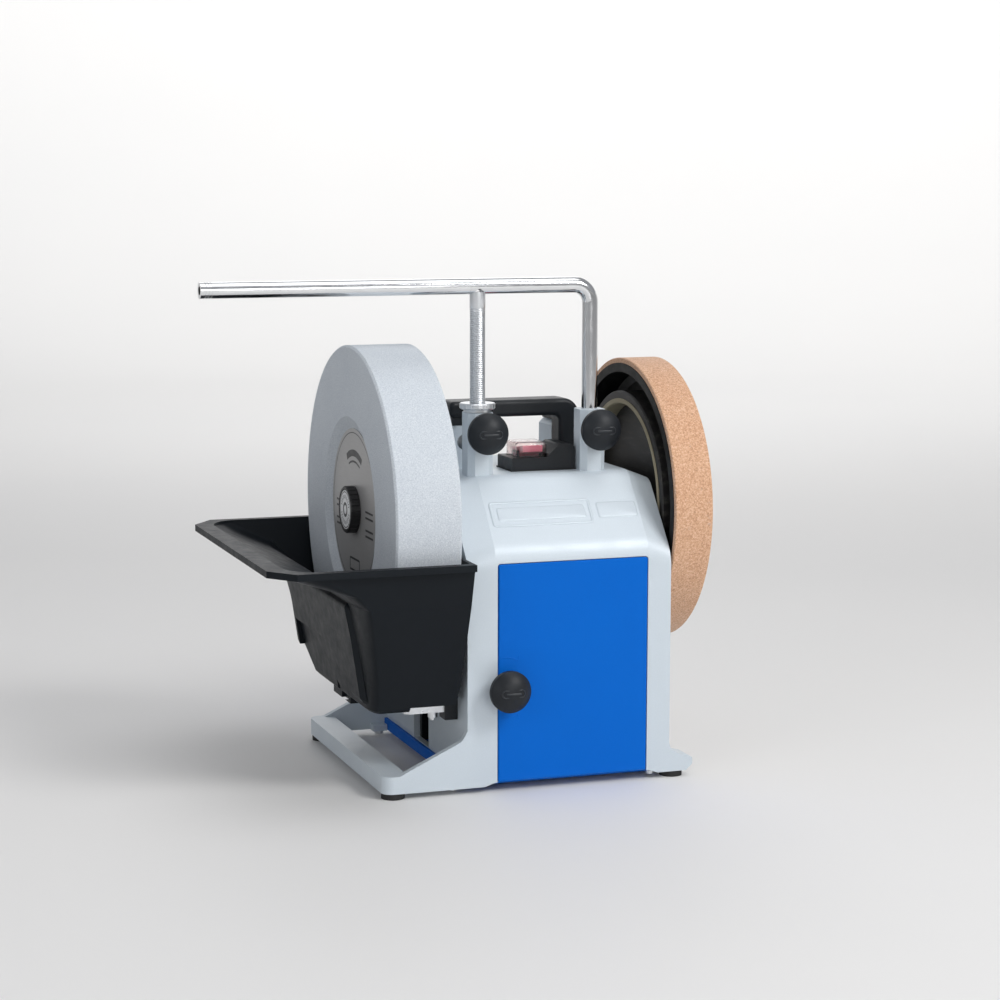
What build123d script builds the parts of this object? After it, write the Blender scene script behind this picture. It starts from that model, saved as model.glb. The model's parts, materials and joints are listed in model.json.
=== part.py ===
from build123d import *
import os
from math import cos, pi, sin

# Water-cooled bench sharpener: a slow grinding stone on the left end of one shaft and a leather
# honing wheel on the right end, driven by a pivoted motor inside the housing, with a water trough
# that a rack lifts and a tool support bar that a nut raises.
#
# Millimetres, +Z up. The operator stands on the -Y side. Inside this file every X is measured
# from the outer face of the grinding stone; put() moves each finished piece so that the origin
# is the middle of the overall width and depth, at the underside of the rubber feet.

# ---- driving dimensions ----
STONE_R = 125.0
STONE_W = 50.0
WHEEL_R = 110.0
WHEEL_W = 31.0
SHAFT_R = 6.0
BAR_R = 6.0
AXIS_Z = 201.5
CLEAR = 0.05             # radial clearance of every running or sliding fit
GAP = 0.3                # free gap between bodies that only pass each other

# housing
HOUSE_X0 = 59.6
HOUSE_X1 = 221.0
HALF_Y = 107.0           # front and rear faces
BASE_Z = 4.5             # underside of the casting
BEND_Z = 179.0           # where the upright faces lean back
TOP_Z = 231.5
TOP_Y = 62.0             # front and rear edges of the flat top
ROOF_Z = 165.0           # where the roof meets the front and rear walls
WALL = 5.0
EDGE_DROP = 7.0          # how far the facets along the two ends fall away
FACET_LEFT = 22.0
FACET_RIGHT = 18.0

# door and rear panel opening
DOOR_X0 = 82.9
DOOR_X1 = 202.5
DOOR_Z0 = 7.0
DOOR_Z1 = 171.8
REBATE = 2.5
DOOR_R = 2.5             # upper corners of the opening
DOOR_GAP = 0.7

# outrigger under the trough
RAIL_X0 = -5.0
RAIL_X1 = 14.5
RAIL_Z = 17.5
GUSSET_T = 5.5
FOOT_R = 8.75
FOOT_X = (4.5, 226.0)
FOOT_Y = 98.0

# support sleeves and bar
SLEEVE_X = (86.9, 176.9)
SLEEVE_Y = -48.0
SLEEVE_Z = 278.0
SLEEVE_LOW = 196.0
SIDE_BORE_Z = 252.0
SIDE_TOP = 264.0
BAR_Z = 372.3
BAR_LEFT = -124.0
BAR_BEND = 13.5
BAR_RELIEF = (79.0, 80.0)  # narrow groove beside the left leg's weld, where sliding jigs stop
LEG_LOW = 200.0
LOCK_Z = 264.0

# water trough
RIM_Z = 177.5
RIM_T = 5.0
RIM_X0 = -94.0
RIM_X1 = 56.0
RIM_Y = 140.0
TROUGH_FLOOR = 63.5
TROUGH_T = 3.0
LIFT_TRAVEL = 26.0
ARM_X = 19.0             # tip of the two arms that carry the trough
ARM_Y = 77.0
ARM_TOP = 67.0
ARM_LOW = 57.8

# lifting gear
LIFT_X = 88.0
LIFT_Z = 78.5
LIFT_Y = 8.0
PITCH_R = 8.0
TEETH = 10

# drive
LINING_R = 74.0
SPINDLE_R = 4.75
MOTOR_Z = AXIS_Z - LINING_R + SPINDLE_R + 0.25
MOTOR_R = 48.0
PIVOT_Y = 74.0

WHEEL_X0 = 223.0
NUT_X0 = -3.5
NUT_X1 = 266.5
ORIGIN_X = (BAR_LEFT + NUT_X1) / 2

os.makedirs("parts", exist_ok=True)


# ---- helpers ----
def put(node, shape):
    solids = shape.solids() if hasattr(shape, "solids") else ShapeList(shape)
    moved = Pos(-ORIGIN_X, 0, 0) * Compound(children=list(solids))
    export_step(moved, "parts/" + node + ".step")


def block(x0, x1, y0, y1, z0, z1):
    middle = Pos((x0 + x1) / 2, (y0 + y1) / 2, (z0 + z1) / 2)
    return middle * Box(x1 - x0, y1 - y0, z1 - z0)


def rod_x(r, x0, x1, y=0.0, z=AXIS_Z):
    return Pos((x0 + x1) / 2, y, z) * Rot(0, 90, 0) * Cylinder(r, x1 - x0)


def rod_y(r, y0, y1, x, z):
    return Pos(x, (y0 + y1) / 2, z) * Rot(90, 0, 0) * Cylinder(r, y1 - y0)


def rod_z(r, z0, z1, x, y):
    return Pos(x, y, (z0 + z1) / 2) * Cylinder(r, z1 - z0)


def outline(points, radii=None):
    face = make_face(Polyline(*points, close=True))
    if not radii:
        return face
    for point, radius in zip(points, radii):
        if radius:
            corner = face.vertices().sort_by_distance((point[0], point[1], 0))[0]
            face = fillet(corner, radius)
    return face


def prism_x(face, x0, x1):
    return extrude(Plane.YZ.offset(x0) * face, x1 - x0)


def prism_y(face, y0, y1):
    return extrude(Plane.XZ.offset(-y1) * face, y1 - y0)


def prism_z(face, z0, z1):
    return extrude(Plane.XY.offset(z0) * face, z1 - z0)


def turned_x(points, y=0.0, z=AXIS_Z):
    """Solid of revolution about an X line, from (x, radius) points."""
    face = make_face(Plane.XZ * Polyline(*points, close=True))
    return Pos(0, y, z) * revolve(face, Axis.X)


def both_ends(shape):
    return shape + mirror(shape, Plane.XZ)


# ---- housing casting ----
def body_outline(drop):
    bend = BEND_Z - drop
    top = TOP_Z - drop
    points = [(-HALF_Y, BASE_Z), (-HALF_Y, bend), (-TOP_Y, top),
              (TOP_Y, top), (HALF_Y, bend), (HALF_Y, BASE_Z)]
    return outline(points, [0, 25, 14, 14, 25, 0])


def shell():
    end_face = body_outline(EDGE_DROP)
    full_face = body_outline(0)
    left = loft([Plane.YZ.offset(HOUSE_X0) * end_face,
                 Plane.YZ.offset(HOUSE_X0 + FACET_LEFT) * full_face], ruled=True)
    right = loft([Plane.YZ.offset(HOUSE_X1 - FACET_RIGHT) * full_face,
                  Plane.YZ.offset(HOUSE_X1) * end_face], ruled=True)
    middle = prism_x(full_face, HOUSE_X0 + FACET_LEFT, HOUSE_X1 - FACET_RIGHT)
    inside = HALF_Y - WALL
    hollow = outline([(-inside, 0), (-inside, 165), (-59, 217), (59, 217), (inside, 165), (inside, 0)])
    return left + middle + right - prism_x(hollow, HOUSE_X0 + WALL, HOUSE_X1 - WALL)


def gusset():
    points = [(4, BASE_Z), (4, RAIL_Z), (7, RAIL_Z), (55.8, 40.5), (59.7, 48), (66, 48), (66, BASE_Z)]
    plate = prism_y(outline(points, [0, 0, 3, 10, 0, 0, 0]), -HALF_Y, -HALF_Y + GUSSET_T)
    pad = block(45, HOUSE_X0 - 3, -HALF_Y + GUSSET_T - 1, -91.5, BASE_Z, BASE_Z + 5)
    return plate + pad


def flare():
    points = [(217, BASE_Z), (235, BASE_Z), (240.5, 9.5), (240, 14.5), (237, 16), (229, 18), (222.5, 22),
              (221, 27), (217, 27)]
    return prism_y(outline(points, [0, 2, 3, 1.5, 0, 0, 4, 0, 0]), -HALF_Y, -HALF_Y + 20)


def sleeve_post(x):
    width, depth, cut = 10.0, 11.0, 4.5
    plan = [(x - width + cut, SLEEVE_Y - depth), (x + width - cut, SLEEVE_Y - depth),
            (x + width, SLEEVE_Y - depth + cut), (x + width, SLEEVE_Y + depth - cut),
            (x + width - cut, SLEEVE_Y + depth), (x - width + cut, SLEEVE_Y + depth),
            (x - width, SLEEVE_Y + depth - cut), (x - width, SLEEVE_Y - depth + cut)]
    return prism_z(outline(plan), 222, SLEEVE_Z) + rod_z(10.5, SLEEVE_LOW, 224, x, SLEEVE_Y)


def side_sleeve(x, y0, y1):
    half, cut, low = 11.0, 4.5, 224.0
    points = [(x - half, low), (x - half, SIDE_TOP - cut), (x - half + cut, SIDE_TOP),
              (x + half - cut, SIDE_TOP), (x + half, SIDE_TOP - cut), (x + half, low)]
    return prism_y(outline(points), y0, y1)


SIDE_LEFT = (-18.0, 34.0)
SIDE_RIGHT = (5.0, 34.0)


def opening_face(gap):
    """Outline of the front and rear openings, or of the panels that fill them with a gap."""
    x0, x1, z0, z1 = DOOR_X0 + gap, DOOR_X1 - gap, DOOR_Z0 + gap, DOOR_Z1 - gap
    radius = DOOR_R - gap
    return outline([(x0, z0), (x1, z0), (x1, z1), (x0, z1)], [0, 0, radius, radius])


def housing():
    rail = prism_z(outline([(RAIL_X0, -HALF_Y), (RAIL_X1, -HALF_Y), (RAIL_X1, HALF_Y), (RAIL_X0, HALF_Y)],
                           [8, 0, 0, 8]), BASE_Z, RAIL_Z)
    body = shell() + rail + both_ends(gusset()) + both_ends(flare())
    # bearing bosses for the main shaft and the bracket that carries the motor pivot
    body += rod_x(17, HOUSE_X0 + 1, HOUSE_X0 + 24) + rod_x(17, HOUSE_X1 - 24, HOUSE_X1 - 1)
    body += rod_x(9, HOUSE_X1 - 14, HOUSE_X1 - 1, PIVOT_Y, MOTOR_Z)
    for x in SLEEVE_X:
        body += sleeve_post(x)
    body += side_sleeve(SLEEVE_X[0], *SIDE_LEFT) + side_sleeve(SLEEVE_X[1], *SIDE_RIGHT)

    # legs' bores, the lock screws' holes and the horizontal sleeves' bores
    for x in SLEEVE_X:
        body -= rod_z(BAR_R + CLEAR, SLEEVE_LOW - 1, SLEEVE_Z + 1, x, SLEEVE_Y)
        body -= rod_y(5 + CLEAR, SLEEVE_Y - 12, SLEEVE_Y, x, LOCK_Z)
        body -= rod_y(BAR_R + CLEAR, SIDE_LEFT[0] - 1, SIDE_LEFT[1] + 1, x, SIDE_BORE_Z)
    # bushes, motor spindle and motor pivot
    body -= rod_x(12, HOUSE_X0 - 1, HOUSE_X0 + 26) + rod_x(12, HOUSE_X1 - 26, HOUSE_X1 + 1)
    body -= rod_x(10, HOUSE_X1 - 8, HOUSE_X1 + 1, 0, MOTOR_Z + 1)
    body -= rod_x(4, HOUSE_X1 - 16, HOUSE_X1 - 4, PIVOT_Y, MOTOR_Z)

    # front and rear openings with their rebates
    for side in (-1, 1):
        face, floor = side * HALF_Y, side * (HALF_Y - REBATE)
        deep = side * (HALF_Y - 8)
        body -= prism_y(opening_face(0), min(face, floor), max(face, floor))
        body -= block(DOOR_X0 + 12, DOOR_X1 - 5, min(face, deep), max(face, deep), DOOR_Z0 + 5, DOOR_Z1 - 8)
    # the arch between the front columns' and the rear columns' feet
    arch = outline([(71, BASE_Z - 1), (73, BASE_Z), (81, DOOR_Z0), (204, DOOR_Z0), (212, BASE_Z), (214, BASE_Z - 1)])
    body -= prism_y(arch, -HALF_Y - 1, HALF_Y + 1)
    body -= rod_y(5 + CLEAR, -HALF_Y - 1, -HALF_Y + 8, LIFT_X, LIFT_Z)
    # slot for the lifting carriage, and the step that the bottom pan fits
    body -= block(HOUSE_X0 - 1, HOUSE_X0 + WALL + 1, LIFT_Y - 19, LIFT_Y + 19, 14, 92)
    body -= block(HOUSE_X0 - 1, HOUSE_X0 + WALL + 1, -101, 101, 0, DOOR_Z0)
    body -= block(HOUSE_X1 - WALL - 1, HOUSE_X1 - WALL + 1.5, -101, 101, 0, DOOR_Z0)
    # sockets for the feet
    for x in FOOT_X:
        for y in (-FOOT_Y, FOOT_Y):
            body -= rod_z(3.2, 0, BASE_Z + 6, x, y)
    return body


def split_casting(body):
    """The casting as simple plates that meet face to face, so that collision hulls stay tight."""
    far, inside = 300.0, HALF_Y - WALL
    end_left, end_right = HOUSE_X0 + WALL, HOUSE_X1 - WALL
    low = block(end_left, end_right, -far, far, -far, ROOF_Z)
    return {
        "base_frame": body & block(-far, HOUSE_X0, -far, far, -far, far),
        "leg_sleeves": body & block(-far, far, -far, far, TOP_Z, far),
        "housing_ends": body & (block(HOUSE_X0, end_left, -far, far, -far, TOP_Z)
                                + block(end_right, far, -far, far, -far, TOP_Z)),
        "housing_front": body & low & block(-far, far, -far, -inside, -far, far),
        "housing_rear": body & low & block(-far, far, inside, far, -far, far),
        "housing": body & block(end_left, end_right, -far, far, ROOF_Z, TOP_Z),
    }


def door():
    panel = prism_y(opening_face(DOOR_GAP), -HALF_Y - 0.6, -HALF_Y + REBATE)
    panel = chamfer(panel.faces().sort_by(Axis.Y)[0].edges(), 0.6)
    return panel - rod_y(5 + CLEAR, -HALF_Y - 2, -HALF_Y + 4, LIFT_X, LIFT_Z)


def rear_panel():
    panel = prism_y(opening_face(DOOR_GAP), HALF_Y - REBATE, HALF_Y + 0.6)
    panel = chamfer(panel.faces().sort_by(Axis.Y)[-1].edges(), 0.6)
    for row in range(9):
        z = 92 + 7.0 * row
        panel -= block(108, 178, HALF_Y - 4, HALF_Y + 2, z, z + 3)
    panel -= rod_y(9, HALF_Y - 4, HALF_Y + 2, 182, 34)
    for x, z in PANEL_SCREWS:
        panel -= rod_y(1.8, HALF_Y - 4, HALF_Y + 2, x, z)
    return panel


PANEL_SCREWS = [(x, z) for x in (89.0, 196.5) for z in (13.5, 165.0)]


def panel_screws():
    return [rod_y(3.4, HALF_Y + 0.6, HALF_Y + 2.6, x, z) + rod_y(1.8, HALF_Y - REBATE, HALF_Y + 1, x, z)
            for x, z in PANEL_SCREWS]


def inlet():
    body = rod_y(9, HALF_Y - 12, HALF_Y + 0.6, 182, 34) + rod_y(12, HALF_Y + 0.6, HALF_Y + 4, 182, 34)
    return body - rod_y(3.6, HALF_Y - 14, HALF_Y + 6, 182, 34)


def bottom_pan():
    plate = block(HOUSE_X0 - 2.6, HOUSE_X1 - WALL + 1, -100.5, 100.5, 5.0, 6.8)
    flange = block(HOUSE_X0 - 2.6, HOUSE_X0 - GAP, -100.5, 100.5, 5.0, 13.5)
    pan = plate + flange
    for row in range(6):
        x = 105 + 16.0 * row
        pan -= block(x, x + 5, -60, -20, 4, 8)
    return pan


def foot(x, y):
    return rod_z(FOOT_R, 0, BASE_Z, x, y) + rod_z(3.2, BASE_Z - 1, BASE_Z + 5, x, y)


def pan_screw(x, y):
    return rod_z(3.6, 2.0, BASE_Z, x, y)


# ---- carrying handle ----
HANDLE_X = (77.0, 182.5)
HANDLE_Y = (-13.0, 9.0)
HANDLE_Z = (269.5, 282.5)


def handle():
    x0, x1 = HANDLE_X
    y0, y1 = HANDLE_Y
    z0, z1 = HANDLE_Z
    leg = 16.5
    side = outline([(x0, z0), (x0, z1), (x1, z1), (x1, TOP_Z), (x1 - leg, TOP_Z), (x1 - leg, z0)],
                   [4, 4, 13, 0, 0, 5])
    arch = prism_y(side, y0, 4.8)
    arch += prism_y(outline([(x0, z0), (x0, z1), (x1 - 2, z1), (x1 - 2, z0)], [4, 4, 12, 0]), 4, y1)
    arch = fillet(arch.faces().sort_by(Axis.Y)[0].edges().filter_by(lambda e: e.center().Z > 240), 3.5)
    arch += block(79, 97, y0 + 2, y1 + 12, SIDE_TOP, z0 + 1)
    arch += block(168, 186, 5.2, 32, SIDE_TOP, z0 + 1)
    arch += block(168, x1 - 2, 5, 20, z0, z0 + 6)
    return arch


def handle_screws():
    screws = []
    for x, y in ((88.0, 15.0), (177.0, 26.0)):
        screws.append(rod_z(4.5, HANDLE_Z[0] + 1, HANDLE_Z[0] + 5, x, y))
    return screws


# ---- switch ----
SWITCH_X = (115.0, 165.5)
SWITCH_Y = (-47.0, -13.5)
ROCKER_X = (125.6, 141.5)
ROCKER_Y = -30.0
ROCKER_Z = 243.0
GASKET_T = 0.8


def switch_housing():
    x0, x1 = SWITCH_X
    low = TOP_Z + GASKET_T
    side = [(x0, low), (x0, 241.5), (143, 241.5), (153.5, 251.5), (163, 251), (x1, 249), (x1, low)]
    body = prism_y(outline(side, [0, 1, 0, 3, 2, 0, 0]), *SWITCH_Y)
    body -= block(119.5, 145.5, -44, -16.5, TOP_Z + 3, 256)
    return body


def gasket():
    x0, x1 = SWITCH_X
    y0, y1 = SWITCH_Y
    return block(x0 - 0.8, x1 + 0.8, y0 - 0.8, y1 + 0.8, TOP_Z, TOP_Z + GASKET_T)


def rocker_cradle():
    shape = block(120, 145, -43.5, -17, TOP_Z + 3, 240.5)
    for side in (ROCKER_X[0] - 2.6, ROCKER_X[1] + 0.3):
        shape += block(side, side + 2.3, ROCKER_Y - 4, ROCKER_Y + 4, 240, ROCKER_Z + 3)
    return shape - rod_x(2 + CLEAR, 120, 147, ROCKER_Y, ROCKER_Z)


def rocker():
    low = 241.8
    side = [(ROCKER_Y - 11, low + 3.6), (ROCKER_Y - 11, 250.5), (ROCKER_Y, 248.3), (ROCKER_Y + 11, 248.0),
            (ROCKER_Y + 11, low), (ROCKER_Y, low)]
    body = prism_x(outline(side), ROCKER_X[0], ROCKER_X[1])
    return body + rod_x(2, ROCKER_X[0] - 2.4, ROCKER_X[1] + 2.4, ROCKER_Y, ROCKER_Z)


def boot():
    outer = block(119.8, 145.2, -43.6, -16.8, 241.5, 253)
    outer = fillet(outer.edges().filter_by(Axis.Z), 3)
    inner = block(120.8, 144.2, -42.6, -17.8, 241, 252.2)
    return outer - inner


# ---- main shaft and wheels ----
def main_shaft():
    shaft = rod_x(SHAFT_R, -1.5, NUT_X1 - 3)
    return chamfer(shaft.faces().filter_by(Axis.X).edges(), 0.8)


def stone():
    recess = 5.0
    points = [(0, 71), (recess, 61.9), (recess, SHAFT_R), (STONE_W, SHAFT_R), (STONE_W, STONE_R - 1.5),
              (STONE_W - 1.5, STONE_R), (1.5, STONE_R), (0, STONE_R - 1.5)]
    return turned_x(points)


def label_disc():
    return rod_x(61.7, 4.2, 5.0) - rod_x(SHAFT_R, 4, 6)


def stone_flange():
    return turned_x([(STONE_W, SHAFT_R), (STONE_W, 22), (STONE_W + 3, 22), (STONE_W + 4, 13),
                     (HOUSE_X0 - GAP, 13), (HOUSE_X0 - GAP, SHAFT_R)])


def stone_nut():
    body = turned_x([(-2.3, 0), (-2.3, 15), (NUT_X0, 15.6), (NUT_X0, 17.2), (-2.6, 18), (4.2 - 0.3, 18),
                     (4.2 - 0.3, SHAFT_R + CLEAR), (-1.7, SHAFT_R + CLEAR), (-1.7, 0)])
    for k in range(24):
        angle = 2 * pi * k / 24
        body -= rod_x(0.8, -3.0, 3.0, 18.1 * cos(angle), AXIS_Z + 18.1 * sin(angle))
    return body


def nut_disc():
    return rod_x(14.8, -3.1, -2.3)


def drive_wheel():
    x0 = WHEEL_X0
    return turned_x([(x0, 78), (x0, 83.2), (x0 + 1, 84.2), (x0 + 17, 84.2), (x0 + 17, SHAFT_R), (x0 - 1, SHAFT_R),
                     (x0 - 1, 13), (x0 + 13, 13), (x0 + 13, 78)])


def drive_lining():
    x0 = WHEEL_X0
    return turned_x([(x0 - 0.5, LINING_R + 0.6), (x0 - 0.5, 78), (x0 + 13, 78), (x0 + 13, LINING_R),
                     (x0 + 0.5, LINING_R)])


def honing_wheel():
    x0, x1 = WHEEL_X0, WHEEL_X0 + WHEEL_W
    return turned_x([(x0, 99), (x0, WHEEL_R - 4), (x1, WHEEL_R - 4), (x1, 100), (x1 - 4, 96), (x1 - 4, 30),
                     (x1, 24), (x1, SHAFT_R), (x0 + 17.3, SHAFT_R), (x0 + 17.3, 22), (x1 - 9, 30),
                     (x1 - 9, 92), (x1 - 12, 98)])


def leather():
    x0, x1 = WHEEL_X0 + 0.4, WHEEL_X0 + WHEEL_W - 0.4
    edge = 0.6
    return turned_x([(x0, WHEEL_R - 4), (x0, WHEEL_R - edge), (x0 + edge, WHEEL_R), (x1 - edge, WHEEL_R),
                     (x1, WHEEL_R - edge), (x1, WHEEL_R - 4)])


def honing_nut():
    x0 = WHEEL_X0 + WHEEL_W
    body = turned_x([(x0, SHAFT_R), (x0, 16), (NUT_X1 - 1.5, 16), (NUT_X1, 14.5), (NUT_X1, 0), (NUT_X1 - 3, 0),
                     (NUT_X1 - 3, SHAFT_R)])
    for k in range(8):
        angle = 2 * pi * k / 8
        body -= rod_x(2.5, x0 + 2, NUT_X1 + 1, 17.2 * cos(angle), AXIS_Z + 17.2 * sin(angle))
    return body


def bushes():
    left = turned_x([(HOUSE_X0, SHAFT_R + CLEAR), (HOUSE_X0, 12), (HOUSE_X0 + 24, 12),
                     (HOUSE_X0 + 24, SHAFT_R + CLEAR)])
    right = turned_x([(HOUSE_X1 - 24, SHAFT_R + CLEAR), (HOUSE_X1 - 24, 12), (HOUSE_X1, 12),
                      (HOUSE_X1, SHAFT_R + CLEAR)])
    return [left, right]


# ---- motor on its pivot ----
MOTOR_X = (104.0, 188.0)


def motor():
    x0, x1 = MOTOR_X
    body = turned_x([(x0, 7 + CLEAR), (x0, 34), (x0 + 5, MOTOR_R - 4), (x0 + 12, MOTOR_R - 4),
                     (x0 + 12, MOTOR_R), (x1 - 12, MOTOR_R), (x1 - 12, MOTOR_R - 4), (x1 - 5, MOTOR_R - 4),
                     (x1, 34), (x1, 7 + CLEAR)], 0, MOTOR_Z)
    return body


def motor_bracket():
    arm = block(158, 174, 40, PIVOT_Y, MOTOR_Z - 8, MOTOR_Z + 8)
    tube = rod_x(9, 150, 203, PIVOT_Y, MOTOR_Z)
    return arm + tube - rod_x(MOTOR_R, 140, 190, 0, MOTOR_Z) - rod_x(4 + CLEAR, 149, 204, PIVOT_Y, MOTOR_Z)


def pivot_pin():
    return rod_x(4, 148, HOUSE_X1 - 4, PIVOT_Y, MOTOR_Z)


def rotor():
    axle = rod_x(7, MOTOR_X[0] - 12, MOTOR_X[1] + 4, 0, MOTOR_Z)
    return axle + rod_x(SPINDLE_R, MOTOR_X[1] + 3, WHEEL_X0 + 11, 0, MOTOR_Z)


def fan():
    x1 = MOTOR_X[0] - 2.5
    hub = rod_x(12, x1 - 8, x1, 0, MOTOR_Z) + rod_x(36, x1 - 1.5, x1, 0, MOTOR_Z)
    for k in range(8):
        blade = block(x1 - 7, x1, -0.8, 0.8, 10, 36)
        hub += Pos(0, 0, MOTOR_Z) * Rot(360 / 8 * k, 0, 0) * blade
    return hub - rod_x(7, x1 - 10, x1 + 1, 0, MOTOR_Z)


def capacitor():
    return rod_y(15, 30, 80, 125, 30)


def capacitor_clip():
    ring = rod_y(16.2, 50, 60, 125, 30) - rod_y(15, 49, 61, 125, 30)
    return ring + block(113, 137, 50, 60, 6.8, 15.5) - rod_y(15, 49, 61, 125, 30)


# ---- tool support ----
def support_bar():
    right = SLEEVE_X[1]
    path = FilletPolyline((BAR_LEFT, SLEEVE_Y, BAR_Z), (right, SLEEVE_Y, BAR_Z), (right, SLEEVE_Y, LEG_LOW),
                          radius=BAR_BEND)
    start = Plane(origin=(BAR_LEFT, SLEEVE_Y, BAR_Z), z_dir=(1, 0, 0))
    bar = sweep(start * Circle(BAR_R), path=path)
    bar -= rod_x(BAR_R + 1, *BAR_RELIEF, SLEEVE_Y, BAR_Z) - rod_x(BAR_R - 0.3, 78, 81, SLEEVE_Y, BAR_Z)
    # ring grooves and a drilled centre at the free end
    for k in range(3):
        x = BAR_LEFT + 3.0 + 2.2 * k
        ring = rod_x(BAR_R + 1, x, x + 0.9, SLEEVE_Y, BAR_Z) - rod_x(BAR_R - 0.5, x - 1, x + 2, SLEEVE_Y, BAR_Z)
        bar -= ring
    bar -= rod_x(3.2, BAR_LEFT - 1, BAR_LEFT + 9, SLEEVE_Y, BAR_Z)
    return bar - rod_z(BAR_R - 0.25, LEG_LOW, BAR_Z, SLEEVE_X[0], SLEEVE_Y)


def threaded_leg():
    x = SLEEVE_X[0]
    core = rod_z(BAR_R - 0.25, LEG_LOW, BAR_Z, x, SLEEVE_Y)
    collar = rod_z(BAR_R, BAR_Z - 14, BAR_Z, x, SLEEVE_Y) - rod_x(BAR_R, x - 10, x + 10, SLEEVE_Y, BAR_Z)
    return core + collar - block(x - 8, x + 8, SLEEVE_Y - 8, SLEEVE_Y + 8, BAR_Z - 3.8, BAR_Z + 8)


def micro_nut():
    x = SLEEVE_X[0]
    low = SLEEVE_Z + 0.3
    points = [(BAR_R - 0.25 + CLEAR, low), (10.5, low), (10.5, low + 2), (12.6, low + 2.2), (13.5, low + 3),
              (13.5, low + 6), (12.8, low + 6.7), (BAR_R - 0.25 + CLEAR, low + 6.7)]
    nut = Pos(x, SLEEVE_Y, 0) * revolve(make_face(Plane.XZ * Polyline(*points, close=True)), Axis.Z)
    for k in range(20):
        angle = 2 * pi * k / 20
        nut -= rod_z(0.6, low + 2, low + 7, x + 13.7 * cos(angle), SLEEVE_Y + 13.7 * sin(angle))
    return nut


KNOB_R = 15.6


def knob(x, z, y_back):
    """Soft domed knob on a short neck; y_back is where the neck ends, towards the machine."""
    rim_y = y_back - 14.5
    dome_h = 7.5
    points = [(0, y_back), (7, y_back), (7, y_back - 6), (12.5, y_back - 7.5), (KNOB_R, y_back - 11),
              (KNOB_R, rim_y), (0, rim_y)]
    body = revolve(make_face(Polyline(*points, close=True)), Axis.Y)
    ball_r = (KNOB_R ** 2 + dome_h ** 2) / (2 * dome_h)
    ball = Pos(0, rim_y - dome_h + ball_r, 0) * Sphere(ball_r)
    dome = ball & rod_y(KNOB_R, rim_y - dome_h - 1, rim_y, 0, 0)
    return Pos(x, 0, z) * (body + dome)


def lock_knob(x):
    back = SLEEVE_Y - 11 - 1.0
    return knob(x, LOCK_Z, back) - rod_y(5, back - 10, back + 1, x, LOCK_Z)


def lock_screw(x):
    back = SLEEVE_Y - 11 - 1.0
    return rod_y(5, back - 10, SLEEVE_Y - BAR_R - GAP, x, LOCK_Z)


# ---- trough and its lift ----
def six_sided(x0, x1, half, cut_x, cut_y):
    return Polyline((x1, -half), (x1, half), (x0 + cut_x, half), (x0, half - cut_y),
                    (x0, -half + cut_y), (x0 + cut_x, -half), close=True)


def rounded_six(x0, x1, half, cut_x, cut_y):
    """Like six_sided, with the two left corners as quarter ellipses."""
    rear = EllipticalCenterArc((x0 + cut_x, half - cut_y), cut_x, cut_y, start_angle=90, arc_size=90)
    front = EllipticalCenterArc((x0 + cut_x, cut_y - half), cut_x, cut_y, start_angle=180, arc_size=90)
    return make_face([Line((x1, -half), (x1, half)), Line((x1, half), (x0 + cut_x, half)), rear,
                      Line((x0, half - cut_y), (x0, cut_y - half)), front, Line((x0 + cut_x, -half), (x1, -half))])


def basin(levels):
    faces = [Plane.XY.offset(z) * rounded_six(*size) for z, size in levels]
    solid = loft(faces[0:2], ruled=True)
    for low, high in zip(faces[1:], faces[2:]):
        solid += loft([low, high], ruled=True)
    return solid


def rear_slope(drop):
    """The wedge that the sloping rear corner of the trough's floor takes away."""
    return prism_x(make_face(Polyline((46, 58 + drop), (46, 40), (130, 40), (130, 116.5 + drop), close=True)), -60, 60)


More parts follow.
